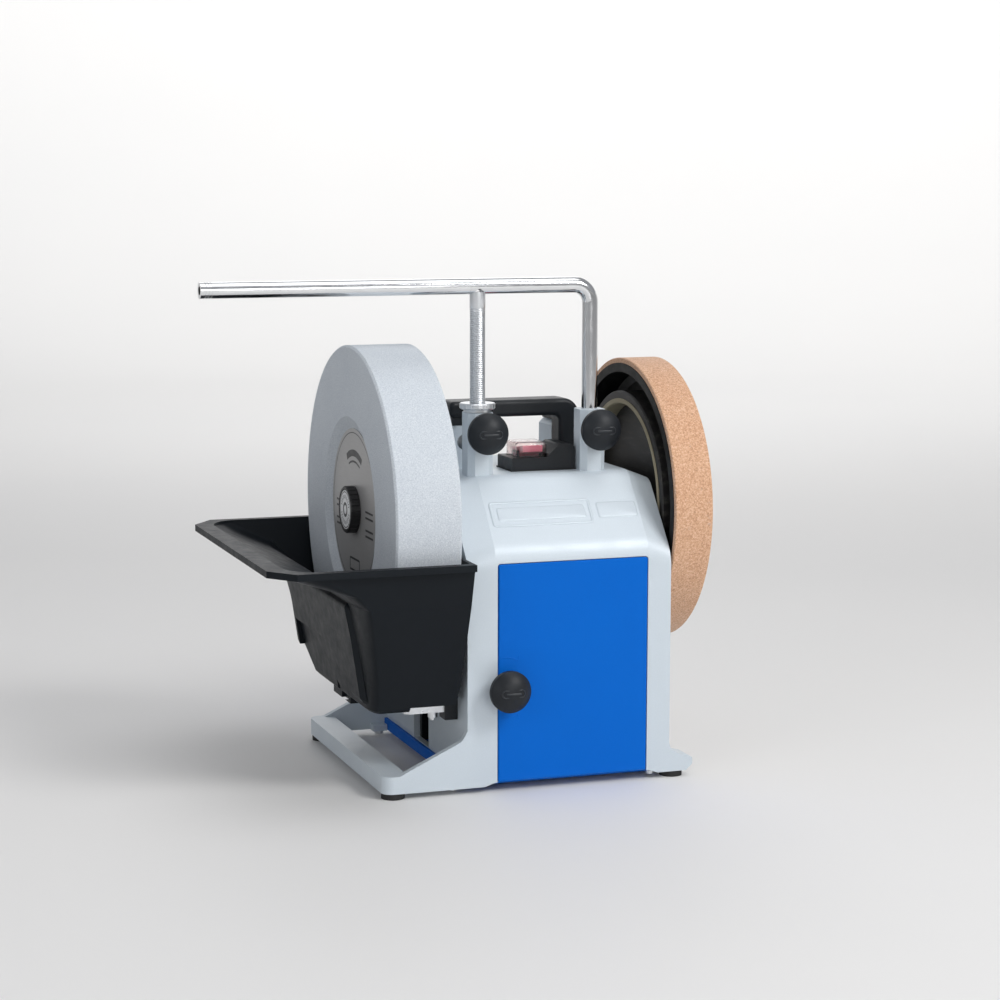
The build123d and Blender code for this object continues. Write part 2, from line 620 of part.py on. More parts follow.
def trough():
    low, under = TROUGH_FLOOR, RIM_Z - RIM_T
    outer = basin([(low, (-9.5, 50.5, 97.5, 6, 16)), (low + 2.5, (-12, 52.5, 100.5, 6, 16)),
                   (85.5, (-14.5, 54.3, 108, 6, 22)), (117, (-20, 55, 119, 6, 32)), (146, (-26, 55.4, 129, 6, 36)),
                   (157, (-39, 55.5, 132, 9, 36)), (under, (-88, 55.8, 136, 28, 30))])
    inner = basin([(low + TROUGH_T, (-7, 49.5, 96, 6, 16)), (85.5, (-10.5, 51.3, 104.5, 6, 22)),
                   (117, (-16.5, 51.9, 115.8, 6, 32)), (147, (-22.5, 52.3, 126, 6, 36)),
                   (159, (-36, 52.5, 129, 9, 36)), (RIM_Z - 2, (-80, 52.8, 132.6, 22, 26)),
                   (RIM_Z + 1, (-81, 53, 133, 22, 26))])
    rim = prism_z(make_face(six_sided(RIM_X0, RIM_X1, RIM_Y, 17, 22)), under, RIM_Z)
    # proud panel on the left face, with a wide shallow recess under its upper band
    side = outline([(-8, 70), (-14, 70), (-17, 74), (-23.5, 117), (-28.6, 143), (-24, 147), (-8, 147)],
                   [0, 0, 2, 0, 3, 0, 0])
    recess = prism_y(make_face(Polyline((-50, 60), (-11.7, 60), (-12.6, 70), (-14.8, 85.5), (-18.2, 104), (-50, 104),
                                        close=True)), -64, 82)
    panel = prism_y(side, -86.5, 86.5)
    upright = Plane.XZ * side
    for y, end_y in ((-86.5, -91), (86.5, 91)):
        panel += loft([Pos(0, y, 0) * upright, Pos(4, end_y, -2) * upright], ruled=True)
    panel -= recess
    drain = block(-8.5, 44, -31, 17, low - 6, low + 1)
    rib = block(ARM_X, 49.5, ARM_Y - 6, ARM_Y + 6, ARM_TOP, 92)
    body = outer + panel - rear_slope(0) + rim + drain - arm_pocket(0) + rib
    triangle = make_face(Polyline((-9, 72), (-6, 56), (-31, 60), close=True))
    notch = prism_x(triangle, -20, -10.4) + (prism_x(triangle, -11, -5.5) & block(-12, -5, -40, 0, 50, low + 0.5))
    return body - (inner - rear_slope(3.6) - arm_pocket(TROUGH_T)) - notch


def arm_pocket(wall):
    """Where the trough's floor steps up over the two arms; wall is added all round."""
    return Compound(children=[block(ARM_X - 1.5 - wall, 60, *sorted((side * (ARM_Y - 8 - wall), side * 115)),
                                    40, ARM_TOP + wall) for side in (-1, 1)])


def pinion_and_shaft():
    shaft = rod_y(4, -HALF_Y - 1, LIFT_Y + 22, LIFT_X, LIFT_Z) + rod_y(5, -HALF_Y - 15, -HALF_Y + 9, LIFT_X, LIFT_Z)
    gear = rod_y(5.8, LIFT_Y - 5, LIFT_Y + 5, LIFT_X, LIFT_Z)
    tooth = prism_y(outline([(-1.3, 4), (-0.5, 9.6), (0.5, 9.6), (1.3, 4)]), LIFT_Y - 5, LIFT_Y + 5)
    for k in range(TEETH):
        gear += Pos(LIFT_X, 0, LIFT_Z) * Rot(0, 360 / TEETH * k, 0) * tooth
    return shaft + gear


def carriage():
    pitch = 2 * pi * PITCH_R / TEETH
    top = LIFT_Z + 11
    low = LIFT_Z - 11
    rack_x = LIFT_X - PITCH_R
    plate = block(HOUSE_X0 + WALL + GAP, rack_x - 7, LIFT_Y - 14, LIFT_Y + 14, low - 6, top + LIFT_TRAVEL + 6)
    bar = block(rack_x - 8, rack_x - 2.6, LIFT_Y - 5, LIFT_Y + 5, low, top + LIFT_TRAVEL)
    body = plate + bar
    # two teeth of the pinion straddle its axis at rest, so a tooth of the rack lies level with it
    last = int((11 + LIFT_TRAVEL - 1.5) / pitch)
    for k in range(-1, last + 1):
        z = LIFT_Z + k * pitch
        tooth = outline([(rack_x - 3, z - 1.3), (rack_x + 1.7, z - 0.5),
                         (rack_x + 1.7, z + 0.5), (rack_x - 3, z + 1.3)])
        body += prism_y(tooth, LIFT_Y - 5, LIFT_Y + 5)
    return body


CROSS_Z = (54.0, 68.0)


def crossbar():
    bar = block(56.8, HOUSE_X0 - GAP, -70, 70, *CROSS_Z)
    tongue = block(HOUSE_X0 - 1, HOUSE_X0 + WALL + GAP, LIFT_Y - 10, LIFT_Y + 10, *CROSS_Z)
    return bar + tongue


def arm_block(side):
    low = block(49.5, HOUSE_X0 - GAP, -7, 7, 52, ARM_TOP - 0.3)
    high = block(56.8, HOUSE_X0 - GAP, -7, 7, ARM_TOP - 1, 71.5)
    return Pos(0, side * ARM_Y, 0) * (low + high)


def arm(side):
    plate = block(ARM_X, 49.5, side * ARM_Y - 5, side * ARM_Y + 5, ARM_LOW, ARM_TOP)
    return chamfer(plate.edges().filter_by(Axis.Z).group_by(Axis.X)[0], 3)


def arm_screw(side):
    y = side * ARM_Y
    return rod_z(3.6, ARM_LOW - 4.2, ARM_LOW, 42, y) + rod_z(2, ARM_LOW - 6.2, ARM_LOW - 4.2, 42, y)


def guide(side):
    y = LIFT_Y + side * 17.5
    rail = block(HOUSE_X0 + WALL, HOUSE_X0 + WALL + 11, y - 3.2, y + 3.2, 12, 122)
    return rail


def lift_bearing():
    stand = block(LIFT_X - 8, LIFT_X + 8, LIFT_Y + 14, LIFT_Y + 20, 6.8, LIFT_Z + 9)
    return stand - rod_y(4 + CLEAR, LIFT_Y + 10, LIFT_Y + 24, LIFT_X, LIFT_Z)


def lift_knob():
    back = -HALF_Y - 1.5
    return knob(LIFT_X, LIFT_Z, back) - rod_y(5, back - 14, back + 1, LIFT_X, LIFT_Z)


# ---- everything, one file per node ----
for name, shape in split_casting(housing()).items():
    put(name, shape)
put("front_door", door())
put("rear_panel", rear_panel())
put("rear_panel_screws", Compound(children=panel_screws()))
put("power_inlet", inlet())
put("bottom_pan", bottom_pan())
put("rubber_feet", Compound(children=[foot(x, y) for x in FOOT_X for y in (-FOOT_Y, FOOT_Y)]))
put("pan_screws", Compound(children=[pan_screw(x, y) for x in (51, 209) for y in (-96.5, 96.5)]))
put("handle", handle())
put("handle_screws", Compound(children=handle_screws()))
put("switch_housing", switch_housing())
put("switch_gasket", gasket())
put("rocker_cradle", rocker_cradle())
put("rocker", rocker())
put("rocker_boot", boot())
put("shaft_bushes", Compound(children=bushes()))
put("main_shaft", main_shaft())
put("grinding_stone", stone())
put("label_disc", label_disc())
put("stone_flange", stone_flange())
put("stone_nut", stone_nut())
put("stone_nut_disc", nut_disc())
put("drive_wheel", drive_wheel())
put("drive_lining", drive_lining())
put("honing_wheel", honing_wheel())
put("honing_leather", leather())
put("honing_nut", honing_nut())
put("motor", motor())
put("motor_bracket", motor_bracket())
put("motor_pivot_pin", pivot_pin())
put("motor_rotor", rotor())
put("motor_fan", fan())
put("capacitor", capacitor())
put("capacitor_clip", capacitor_clip())
put("support_bar", support_bar())
put("threaded_leg", threaded_leg())
put("micro_nut", micro_nut())
for name, x in zip(("left", "right"), SLEEVE_X):
    put("lock_knob_" + name, lock_knob(x))
    put("lock_screw_" + name, lock_screw(x))
put("trough", trough())
put("lift_shaft", pinion_and_shaft())
put("lift_knob", lift_knob())
put("lift_carriage", carriage())
put("lift_crossbar", crossbar())
for name, make in (("trough_arms", arm), ("arm_blocks", arm_block), ("arm_screws", arm_screw),
                   ("carriage_guides", guide)):
    put(name, Compound(children=[make(-1), make(1)]))
put("lift_bearing", lift_bearing())
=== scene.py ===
import json
import math

import bmesh
import bpy
from mathutils import Euler, Matrix, Vector


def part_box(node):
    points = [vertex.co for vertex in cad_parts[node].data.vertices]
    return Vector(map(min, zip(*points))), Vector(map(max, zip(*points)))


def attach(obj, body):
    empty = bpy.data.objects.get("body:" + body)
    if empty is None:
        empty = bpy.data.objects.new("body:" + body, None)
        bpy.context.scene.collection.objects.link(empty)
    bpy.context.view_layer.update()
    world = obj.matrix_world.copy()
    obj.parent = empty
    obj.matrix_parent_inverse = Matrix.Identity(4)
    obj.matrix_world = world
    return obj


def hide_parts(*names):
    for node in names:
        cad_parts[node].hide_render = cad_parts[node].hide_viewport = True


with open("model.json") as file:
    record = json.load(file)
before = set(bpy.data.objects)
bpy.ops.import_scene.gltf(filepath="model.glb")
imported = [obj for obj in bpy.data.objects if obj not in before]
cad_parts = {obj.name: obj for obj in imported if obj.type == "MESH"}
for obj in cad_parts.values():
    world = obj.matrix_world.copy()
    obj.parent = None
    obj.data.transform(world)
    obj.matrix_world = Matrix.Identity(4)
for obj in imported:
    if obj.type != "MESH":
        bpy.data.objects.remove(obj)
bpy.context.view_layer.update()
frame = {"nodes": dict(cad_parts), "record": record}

# Looks for the wet grinding sharpener. Metres, the same frame as the CAD: +Z up, +X along the
# shaft from the stone to the honing wheel, the operator on the -Y side.
MM = 0.001
TAU = 2 * math.pi
SMOOTH_BELOW = math.radians(40)   # sharper edges than this stay sharp
BURIED = -0.2 * MM                # how deep raised marks reach into the surface they stand on
KNOB_RADIUS = 15.6 * MM
KNOB_DOME = 7.5 * MM              # how far a knob's face bulges
SLOPE_FOOT = Vector((0.0, -107.0, 179.0)) * MM   # where the housing's front starts to lean back
SLOPE_RUN = (45.0, 52.5)                         # how far it goes in Y and Z
SLOPE_MIDDLE = 34.0 * MM                         # from the foot to the middle of the badges
scene = bpy.context.scene


# ---- materials ----
class Look:
    """A procedural material. Object coordinates are rest coordinates in metres, so sizes are real."""

    def __init__(self, name, colour, roughness, **fixed):
        self.material = bpy.data.materials.new(name)
        self.material.use_nodes = True
        self.tree = self.material.node_tree
        self.shader = self.tree.nodes["Principled BSDF"]
        self.colour = (*colour, 1.0)
        self.shader.inputs["Base Color"].default_value = self.colour
        self.shader.inputs["Roughness"].default_value = roughness
        for socket, value in fixed.items():
            self.shader.inputs[socket.replace("_", " ")].default_value = value
        self.place = self.tree.nodes.new("ShaderNodeTexCoord").outputs["Object"]
        self.relief = None
        self.tinted = None

    def node(self, kind, links=None, **values):
        made = self.tree.nodes.new("ShaderNode" + kind)
        for key, value in values.items():
            if hasattr(made, key):
                setattr(made, key, value)
            else:
                made.inputs[key.replace("_", " ")].default_value = value
        for socket, source in (links or {}).items():
            self.tree.links.new(source, made.inputs[socket])
        return made

    def stretched(self, x, y, z):
        return self.node("Mapping", {"Vector": self.place}, Scale=(x, y, z)).outputs["Vector"]

    def noise(self, size, detail=3.0, rough=0.55, place=None, distortion=0.0):
        made = self.node("TexNoise", {"Vector": place or self.place}, Scale=1 / (size * MM), Detail=detail,
                         Roughness=rough, Distortion=distortion)
        return made.outputs["Fac"]

    def cells(self, size):
        return self.node("TexVoronoi", {"Vector": self.place}, Scale=1 / (size * MM)).outputs["Distance"]

    def fit(self, source, low, high, to_low=0.0, to_high=1.0):
        made = self.node("MapRange", {"Value": source})
        for socket, value in (("From Min", low), ("From Max", high), ("To Min", to_low), ("To Max", to_high)):
            made.inputs[socket].default_value = value
        return made.outputs["Result"]

    def tint(self, mask, colour):
        """Blends another colour in where the mask is 1."""
        mix = self.node("Mix", data_type="RGBA", clamp_factor=True)
        self.tree.links.new(mask, mix.inputs["Factor"])
        if self.tinted:
            self.tree.links.new(self.tinted, mix.inputs[6])
        else:
            mix.inputs[6].default_value = self.colour
        mix.inputs[7].default_value = (*colour, 1.0)
        self.tinted = mix.outputs[2]
        self.tree.links.new(self.tinted, self.shader.inputs["Base Color"])
        return self

    def gloss(self, source, low, high):
        self.tree.links.new(self.fit(source, 0.3, 0.7, low, high), self.shader.inputs["Roughness"])
        return self

    def bump(self, source, depth, strength=1.0):
        made = self.node("Bump", {"Height": source}, Distance=depth * MM, Strength=strength)
        if self.relief:
            self.tree.links.new(self.relief, made.inputs["Normal"])
        self.relief = made.outputs["Normal"]
        self.tree.links.new(self.relief, self.shader.inputs["Normal"])
        return self


def grained_plastic(name, colour, rough, grain, depth, pale, shine=0.45):
    """Moulded plastic or rubber; grain and depth are its surface texture in millimetres."""
    look = Look(name, colour, rough, Specular_IOR_Level=shine)
    fine, wide = look.noise(grain, 4.0, 0.6), look.noise(45, 3.0)
    look.gloss(look.noise(9, 4.0, 0.6), rough - 0.05, rough + 0.07)
    look.tint(look.fit(wide, 0.35, 0.75, 0.0, 0.35), pale)
    return look.bump(fine, depth)


def plated(name, colour, rough, mottling=0.08, streak=(1, 1, 1)):
    """Bare or plated metal with fine polishing lines."""
    look = Look(name, colour, rough, Metallic=1.0)
    lines = look.noise(0.6, 3.0, 0.6, look.stretched(*streak))
    look.gloss(look.noise(9, 4.0, 0.6), rough - mottling, rough + mottling)
    look.tint(look.fit(look.noise(14, 4.0), 0.35, 0.7, 0.0, 0.45), [c * 0.9 for c in colour])
    return look.bump(lines, 0.012, 0.35)


def painted(name, colour, rough, shade, metallic=0.0, coat=0.15, shine=0.4):
    """Paint with a faint orange-peel surface."""
    look = Look(name, colour, rough, Metallic=metallic, Coat_Weight=coat, Coat_Roughness=0.25,
                Specular_IOR_Level=shine)
    look.tint(look.fit(look.noise(70, 4.0), 0.3, 0.75, 0.0, 0.6), shade)
    look.tint(look.fit(look.noise(0.7, 2.0), 0.5, 0.75, 0.0, 0.25), [min(1, c * 1.2) for c in colour])
    look.gloss(look.noise(18, 4.0, 0.6), rough - 0.05, rough + 0.08)
    look.bump(look.noise(1.6, 2.0, 0.4), 0.05, 0.5)
    return look.bump(look.noise(0.35, 2.0, 0.5), 0.012, 0.6)


def stone_look():
    """Pale grey abrasive with light crystals."""
    look = Look("stone_grey", (0.60, 0.645, 0.69), 0.93, Specular_IOR_Level=0.25)
    grain, crystal = look.noise(0.9, 5.0, 0.75), look.cells(1.1)
    look.tint(look.fit(look.noise(32, 4.0, 0.6), 0.35, 0.7, 0.0, 0.5), (0.54, 0.585, 0.64))
    look.tint(look.fit(grain, 0.5, 0.66, 0.0, 0.75), (0.80, 0.83, 0.855))
    look.tint(look.fit(grain, 0.47, 0.33, 0.0, 0.7), (0.40, 0.44, 0.49))
    look.tint(look.fit(crystal, 0.16, 0.05, 0.0, 0.5), (0.92, 0.94, 0.96))
    look.bump(grain, 0.22, 0.9)
    return look.bump(look.fit(crystal, 0.0, 0.5), 0.1, 0.6)


def leather_look():
    """Rough suede, with a few pale fibres."""
    look = Look("leather_tan", (0.66, 0.385, 0.235), 0.88, Specular_IOR_Level=0.2, Sheen_Weight=0.25,
                Sheen_Roughness=0.5)
    nap, fibre = look.noise(1.35, 5.0, 0.8), look.noise(3.0, 4.0, 0.7, None, 0.6)
    look.tint(look.fit(look.noise(28, 4.0, 0.6), 0.35, 0.7, 0.0, 0.6), (0.60, 0.32, 0.185))
    look.tint(look.fit(nap, 0.5, 0.6, 0.0, 0.85), (0.82, 0.57, 0.40))
    look.tint(look.fit(nap, 0.47, 0.38, 0.0, 0.7), (0.36, 0.18, 0.10))
    look.tint(look.fit(fibre, 0.62, 0.74, 0.0, 0.4), (0.50, 0.46, 0.44))
    look.bump(nap, 0.35, 0.9)
    return look.bump(fibre, 0.5, 0.5)


def wheel_plastic():
    """Black moulded wheel, with the fine rings that the tool left."""
    look = Look("wheel_black", (0.005, 0.005, 0.005), 0.5, Specular_IOR_Level=0.16)
    rings = look.noise(1.0, 4.0, 0.7, look.stretched(1.2, 0.04, 0.04))
    look.gloss(look.noise(12, 4.0), 0.34, 0.52)
    look.tint(look.fit(rings, 0.5, 0.75, 0.0, 0.5), (0.011, 0.0105, 0.0105))
    return look.bump(rings, 0.06, 0.6)


def drive_look():
    """The drive wheel's dark web, streaked by use."""
    look = Look("drive_black", (0.018, 0.017, 0.017), 0.45, Specular_IOR_Level=0.35)
    streaks = look.noise(1.0, 5.0, 0.7, look.stretched(0.2, 0.03, 0.22))
    look.tint(look.fit(streaks, 0.48, 0.75, 0.0, 0.7), (0.085, 0.08, 0.07))
    look.gloss(streaks, 0.36, 0.58)
    return look.bump(streaks, 0.08, 0.5)


def label_look():
    """Brushed foil."""
    look = Look("label_grey", (0.44, 0.435, 0.43), 0.34, Metallic=0.25)
    brushed = look.noise(0.5, 3.0, 0.6, look.stretched(1, 0.03, 1))
    look.tint(look.fit(look.noise(60, 2.0), 0.3, 0.7, 0.0, 0.6), (0.36, 0.355, 0.35))
    look.gloss(brushed, 0.28, 0.44)
    return look.bump(brushed, 0.01, 0.5)


def boot_look():
    """Clear, slightly uneven soft plastic."""
    look = Look("clear_boot", (0.95, 0.86, 0.85), 0.12, Transmission_Weight=1.0, IOR=1.42)
    look.gloss(look.noise(4, 3.0), 0.06, 0.24)
    return look.bump(look.noise(5, 3.0), 0.15, 0.6)


def floor_look():
    look = Look("studio_floor", (0.80, 0.79, 0.775), 0.62, Specular_IOR_Level=0.3)
    look.tint(look.fit(look.noise(900, 3.0), 0.35, 0.7, 0.0, 0.5), (0.77, 0.765, 0.755))
    return look.bump(look.noise(30, 3.0), 0.2, 0.3)


LOOKS = {
    "silver_paint": painted("silver_paint", (0.60, 0.665, 0.715), 0.40, (0.57, 0.635, 0.69), 0.1),
    "blue_paint": painted("blue_paint", (0.0, 0.130, 0.575), 0.45, (0.0, 0.120, 0.55), 0.0, 0.0, 0.10),
    "stainless": plated("stainless", (0.78, 0.79, 0.80), 0.14, 0.04, (0.05, 1, 1)),
    "zinc": plated("zinc", (0.76, 0.78, 0.80), 0.30, 0.05),
    "steel": plated("steel", (0.56, 0.56, 0.57), 0.36),
    "cast_black": grained_plastic("cast_black", (0.008, 0.010, 0.013), 0.42, 0.8, 0.06,
                                  (0.012, 0.015, 0.019), 0.32),
    "trough_black": grained_plastic("trough_black", (0.010, 0.0125, 0.0155), 0.42, 0.5, 0.015,
                                    (0.012, 0.015, 0.019), 0.11),
    "soft_black": grained_plastic("soft_black", (0.010, 0.0125, 0.016), 0.46, 0.45, 0.03,
                                  (0.014, 0.017, 0.021), 0.32),
    "foot_rubber": grained_plastic("foot_rubber", (0.018, 0.018, 0.018), 0.75, 1.0, 0.08,
                                   (0.028, 0.028, 0.028)),
    "nut_black": grained_plastic("nut_black", (0.014, 0.014, 0.015), 0.36, 0.6, 0.03,
                                 (0.022, 0.022, 0.023)),
    "print_white": grained_plastic("print_white", (0.86, 0.87, 0.88), 0.35, 0.7, 0.01,
                                   (0.80, 0.81, 0.82)),
    "lining_rubber": grained_plastic("lining_rubber", (0.36, 0.315, 0.215), 0.7, 1.2, 0.12,
                                     (0.27, 0.235, 0.16)),
    "brass_bush": plated("brass_bush", (0.72, 0.53, 0.25), 0.32),
    "motor_grey": painted("motor_grey", (0.10, 0.105, 0.11), 0.5, (0.08, 0.083, 0.088), 0.3),
    "pink_plastic": grained_plastic("pink_plastic", (0.86, 0.25, 0.36), 0.3, 0.6, 0.02,
                                    (0.84, 0.30, 0.40)),
    "capacitor_white": grained_plastic("capacitor_white", (0.62, 0.62, 0.60), 0.35, 0.8, 0.02,
                                       (0.55, 0.55, 0.52)),
    "stone_grey": stone_look(),
    "leather_tan": leather_look(),
    "label_grey": label_look(),
    "clear_boot": boot_look(),
}
PRINT_DARK = grained_plastic("print_dark", (0.03, 0.03, 0.032), 0.4, 0.6, 0.01, (0.045, 0.045, 0.048))
MARK_BLACK = grained_plastic("mark_black", (0.026, 0.03, 0.035), 0.32, 0.45, 0.02, (0.035, 0.04, 0.045))
THREAD_METAL = plated("thread_metal", (0.72, 0.74, 0.76), 0.34, 0.02)
SPECIAL = {"honing_wheel": wheel_plastic(), "drive_wheel": drive_look()}

slots = {part["node"]: part["material_slot"] for part in frame["record"]["subparts"]}
for name, item in frame["nodes"].items():
    item.data.materials.clear()
    item.data.materials.append(SPECIAL.get(name, LOOKS[slots[name]]).material)


# ---- making pieces ----
def piece(name, mesh, body, look, replaces=()):
    """Puts a finished bmesh in the scene, riding on its body."""
    data = bpy.data.meshes.new(name)
    bmesh.ops.recalc_face_normals(mesh, faces=mesh.faces)
    mesh.to_mesh(data)
    mesh.free()
    made = bpy.data.objects.new(name, data)
    scene.collection.objects.link(made)
    for polygon in data.polygons:
        polygon.use_smooth = True
    data.set_sharp_from_angle(angle=SMOOTH_BELOW)
    data.materials.append(look.material)
    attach(made, body)
    if replaces:
        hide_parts(*replaces)
    return made


def strip(mesh, rings, close_rings=False, caps=True):
    """Quads between rings of points; each ring is closed on itself."""
    made = [[mesh.verts.new(p) for p in ring] for ring in rings]
    pairs = list(zip(made, made[1:]))
    if close_rings:
        pairs.append((made[-1], made[0]))
    for a, b in pairs:
        for i in range(len(a)):
            j = (i + 1) % len(a)
            mesh.faces.new((a[i], a[j], b[j], b[i]))
    if caps and not close_rings:
        mesh.faces.new(made[0])
        mesh.faces.new(made[-1])
    return made


def middle(node):
    low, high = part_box(node)
    return (low + high) / 2


def racetrack(length, height, count=12):
    """Points round a pill shape in its own plane, centred."""
    r = height / 2
    points = []
    for side, start in ((1, -math.pi / 2), (-1, math.pi / 2)):
        for k in range(count + 1):
            a = start + math.pi * k / count
            points.append((side * (length / 2 - r) + r * math.cos(a), r * math.sin(a)))
    return points


def rounded_box(width, height, radius, count=6):
    points = []
    for quarter, (sx, sy) in enumerate(((1, 1), (-1, 1), (-1, -1), (1, -1))):
        for k in range(count + 1):
            a = math.pi / 2 * (quarter + k / count)
            points.append((sx * (width / 2 - radius) + radius * math.cos(a),
                           sy * (height / 2 - radius) + radius * math.sin(a)))
    return points


def ridge(mesh, line, place, half, height, closed=True):
    """A low rounded ridge along 2-D points; place(u, v, h) gives the point h above the surface."""
    rings = []
    count = len(line)
    for i, (u, v) in enumerate(line):
        before, after = line[i - 1], line[(i + 1) % count]
        if not closed and i == 0:
            before = line[0]
        if not closed and i == count - 1:
            after = line[-1]
        du, dv = after[0] - before[0], after[1] - before[1]
        size = math.hypot(du, dv) or 1.0
        nu, nv = dv / size, -du / size
        left = [(-half, BURIED), (-half, 0.15 * height), (-0.7 * half, 0.7 * height), (-0.3 * half, height)]
        profile = left + [(-w, h) for w, h in reversed(left)]
        rings.append([place(u + nu * w, v + nv * w, h) for w, h in profile])
    strip(mesh, rings, close_rings=closed)


def lathe(mesh, profile, matrix, count, radius_of):
    """Solid about the matrix's Z from (radius, height) points; radius_of says where it isn't round."""
    rings = []
    for r, h in profile:
        ring = []
        for k in range(count):
            a = TAU * k / count
            reach = radius_of(a, r)
            ring.append(matrix @ Vector((reach * math.cos(a), reach * math.sin(a), h)))
        rings.append(ring)
    strip(mesh, rings)


# ---- threaded leg ----
def threaded_leg():
    low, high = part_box("threaded_leg")
    centre = (low + high) / 2
    pitch, depth, crest = 1.5 * MM, 0.5 * MM, 5.97 * MM
    plain_neck = 13.5 * MM
    top = high.z - plain_neck
    around, per_turn = 32, 6
    rows = int((top - low.z) / pitch * per_turn)
    mesh = bmesh.new()
    rings = []
    for row in range(rows + 1):
        z = low.z + (top - low.z) * row / rows
        fade = min(1.0, (z - low.z) / (2 * MM), (top - z) / (1.5 * MM))
        ring = []
        for k in range(around):
            turn = (z / pitch - k / around) % 1.0
            groove = max(0.0, 1 - abs(2 * turn - 1) * 1.25)
            r = crest - depth * groove * max(0.25, fade)
            a = TAU * k / around
            ring.append(Vector((centre.x + r * math.cos(a), centre.y + r * math.sin(a), z)))
        rings.append(ring)
    for z, r in ((top + 0.6 * MM, 5.6), (top + 1.2 * MM, 5.95), (high.z - 0.3 * MM, 5.95)):
        rings.append([Vector((centre.x + r * MM * math.cos(TAU * k / around),
                              centre.y + r * MM * math.sin(TAU * k / around), z)) for k in range(around)])
    strip(mesh, rings)
    return piece("leg_thread", mesh, "support", THREAD_METAL, ["threaded_leg"])


threaded_leg()


# ---- plain raised marks on the three knobs ----
def knob_mark(node, body):
    low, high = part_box(node)
    centre = (low + high) / 2
    ball = (KNOB_RADIUS ** 2 + KNOB_DOME ** 2) / (2 * KNOB_DOME)

    def on_dome(u, v, h):
        drop = ball - math.sqrt(ball ** 2 - u ** 2 - v ** 2)
        return Vector((centre.x + u, low.y + drop - h, centre.z + v))

    mesh = bmesh.new()
    ridge(mesh, racetrack(17.5 * MM, 5.4 * MM), on_dome, 0.5 * MM, 0.6 * MM)
    bar = [((-5.5 + k) * MM, 0.0) for k in range(12)]
    ridge(mesh, bar, on_dome, 0.7 * MM, 0.45 * MM, closed=False)
    return piece(node + "_mark", mesh, body, MARK_BLACK)


for knob_node, knob_body in (("lock_knob_left", "left_knob"), ("lock_knob_right", "right_knob"),
                             ("lift_knob", "lift_dial")):
    knob_mark(knob_node, knob_body)


# ---- blank badges cast into the sloping front ----
def slope_point(u, v, h):
    """u along X, v up the slope from the middle of its flat band, h out of the paint."""
    run, rise = SLOPE_RUN
    up = Vector((0.0, run, rise)).normalized()
    out = Vector((0.0, -rise, run)).normalized()
    return Vector((u, 0, 0)) + SLOPE_FOOT + up * (v + SLOPE_MIDDLE) + out * h


def shifted(points, du, dv=0.0):
    return [(u + du, v + dv) for u, v in points]


def pad(mesh, line, place, height, slope):
    """A low flat plate with sloping sides, over an outline of 2-D points."""
    middles, reaches = [], []
    for values in zip(*line):
        middles.append((max(values) + min(values)) / 2)
        reaches.append((max(values) - min(values)) / 2)

    def grown(extra, h):
        points = []
        for point in line:
            u, v = (m + (value - m) * (1 + extra / reach) for value, m, reach in zip(point, middles, reaches))
            points.append(place(u, v, h))
        return points

    strip(mesh, [grown(slope, BURIED), grown(slope, 0.05 * MM), grown(0.25 * slope, 0.85 * height),
                 grown(0, height)])


def badges():
    mesh = bmesh.new()
    ridge(mesh, shifted(rounded_box(78 * MM, 20 * MM, 2 * MM), 53.6 * MM), slope_point, 1.1 * MM, 0.55 * MM)
    pad(mesh, shifted(rounded_box(68 * MM, 10 * MM, 1.5 * MM), 53.6 * MM), slope_point, 0.5 * MM, 0.9 * MM)
    pad(mesh, shifted(rounded_box(30 * MM, 12 * MM, 2 * MM), 114.0 * MM), slope_point, 0.6 * MM, 1.0 * MM)
    return piece("cast_badges", mesh, "base", LOOKS["silver_paint"])


badges()


# ---- moulded arrows on the door, round the lifting knob ----
def door_arrows():
    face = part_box("front_door")[0].y
    centre = middle("lift_knob")
    radius = 23 * MM

    def on_door(u, v, h):
        return Vector((centre.x + u, face - h, centre.z + v))

    mesh = bmesh.new()
    for side in (1, -1):
        line = [(radius * math.sin(a), side * radius * math.cos(a))
                for a in (math.radians(-4 + 4 * k) for k in range(9))]
        ridge(mesh, line, on_door, 0.5 * MM, 0.15 * MM, closed=False)
        tip = line[-1]
        for barb in ((-3.4 * MM, side * 0.4 * MM), (0.6 * MM, side * 3.4 * MM)):
            head = [tip, (tip[0] + barb[0], tip[1] + barb[1])]
            ridge(mesh, head, on_door, 0.5 * MM, 0.15 * MM, closed=False)
    return piece("door_arrows", mesh, "base", LOOKS["blue_paint"])


door_arrows()


# ---- printed rings and turning arrow on the stone's label ----
def label_print():
    low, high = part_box("label_disc")
    centre = (low + high) / 2

    def on_label(u, v, h):
        return Vector((low.x - h, centre.y + u, centre.z + v))

    def arc(radius, start, end, steps):
        turns = [math.radians(start + (end - start) * k / steps) for k in range(steps + 1)]
        return [(radius * MM * math.sin(a), radius * MM * math.cos(a)) for a in turns]

    mesh = bmesh.new()
    thin = 0.06 * MM
    ridge(mesh, arc(58.5, 0, 356.25, 95), on_label, 0.35 * MM, thin)
    ridge(mesh, arc(43, -28, 28, 24), on_label, 2.6 * MM, thin, closed=False)
    ridge(mesh, arc(36.5, -24, 24, 20), on_label, 0.8 * MM, thin, closed=False)
    for z in (2.0, -2.5, -12.0, -16.5):
        for y0, y1 in ((-50, -30), (28, 50)):
            ridge(mesh, [(y0 * MM, z * MM), (y1 * MM, z * MM)], on_label, 0.8 * MM, thin, closed=False)
    ridge(mesh, shifted(rounded_box(26 * MM, 9 * MM, 1 * MM), 0, -43 * MM), on_label, 0.8 * MM, thin)
    return piece("label_print", mesh, "spindle", PRINT_DARK)


label_print()


